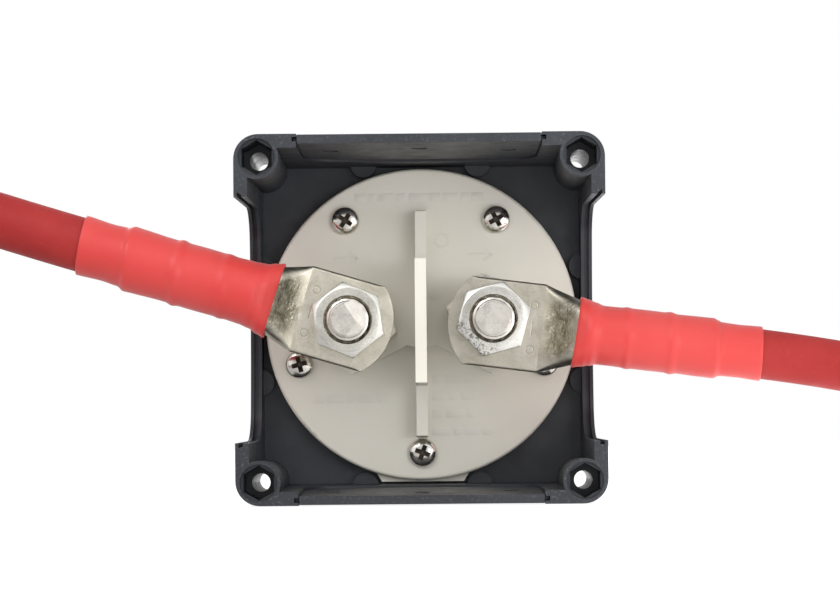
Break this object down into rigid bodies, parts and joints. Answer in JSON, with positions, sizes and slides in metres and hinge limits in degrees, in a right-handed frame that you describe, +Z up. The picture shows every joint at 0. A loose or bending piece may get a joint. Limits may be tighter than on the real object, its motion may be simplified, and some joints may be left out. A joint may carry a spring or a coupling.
{
  "type": "battery isolator switch",
  "caption": "Square rotary battery isolator switch with a red knob, open wiring side, M12 studs and two short red battery leads.",
  "frame": {"origin": "centre of the bottom of the square surround, at mid depth of the switch without its leads", "axes": "+Z up, +Y out of the open wiring side, the knob faces -Y"},
  "size_m": [0.4893, 0.3295, 0.105],
  "materials": {
    "surround_plastic": "satin",
    "cover_plastic": "satin",
    "body_plastic": "satin",
    "zinc_steel": "bright zinc plate",
    "tinned_brass": "tin plated",
    "tinned_copper": "tin plated, satin",
    "bare_copper": "plain copper",
    "silver_contact": "silvered",
    "spring_steel": "satin",
    "seal_rubber": "matte",
    "sleeve_red": "satin heat-shrink",
    "cable_red": "satin",
    "knob_red": "gloss",
    "dial_white": "matte"
  },
  "bodies": {
    "surround": {"housing": "surround_plastic", "switch_body": "body_plastic", "rear_cover": "cover_plastic", "cover_gasket": "seal_rubber", "cover_screws": "zinc_steel", "input_collar": "tinned_brass", "output_collar": "tinned_brass", "input_stud": "tinned_brass", "output_stud": "tinned_brass", "input_nut": "zinc_steel", "output_nut": "zinc_steel", "stud_seals": "seal_rubber", "fixed_contacts": "silver_contact", "shaft_seal": "seal_rubber", "front_bezel": "surround_plastic", "dial_plate": "dial_white", "input_lug": "tinned_copper", "output_lug": "tinned_copper", "input_far_lug": "tinned_copper", "output_far_lug": "tinned_copper", "input_sleeve": "sleeve_red", "output_sleeve": "sleeve_red", "input_far_sleeve": "sleeve_red", "output_far_sleeve": "sleeve_red", "input_cable": "cable_red", "output_cable": "cable_red", "conductor_ends": "bare_copper"},
    "knob_group": {"contact_bar": "bare_copper", "contact_springs": "spring_steel", "rotor": "body_plastic", "detent_balls": "zinc_steel", "detent_springs": "spring_steel", "knob": "knob_red", "knob_screw": "zinc_steel", "knob_cap": "knob_red"},
    "top_panel": {"top_side_panel": "surround_plastic"},
    "bottom_panel": {"bottom_side_panel": "surround_plastic"}
  },
  "joints": [
    {"name": "knob_turn", "type": "hinge", "parent": "surround", "child": "knob_group", "pos_m": [0, -0.0365, 0.0525], "axis": [0, 1, 0], "range_deg": [0, 90]},
    {"name": "top_panel_slide", "type": "slide", "parent": "surround", "child": "top_panel", "axis": [0, 0.9989, 0.0462], "range_m": [0, 0.05]},
    {"name": "bottom_panel_slide", "type": "slide", "parent": "surround", "child": "bottom_panel", "axis": [0, 0.9989, -0.0462], "range_m": [0, 0.05]}
  ]
}
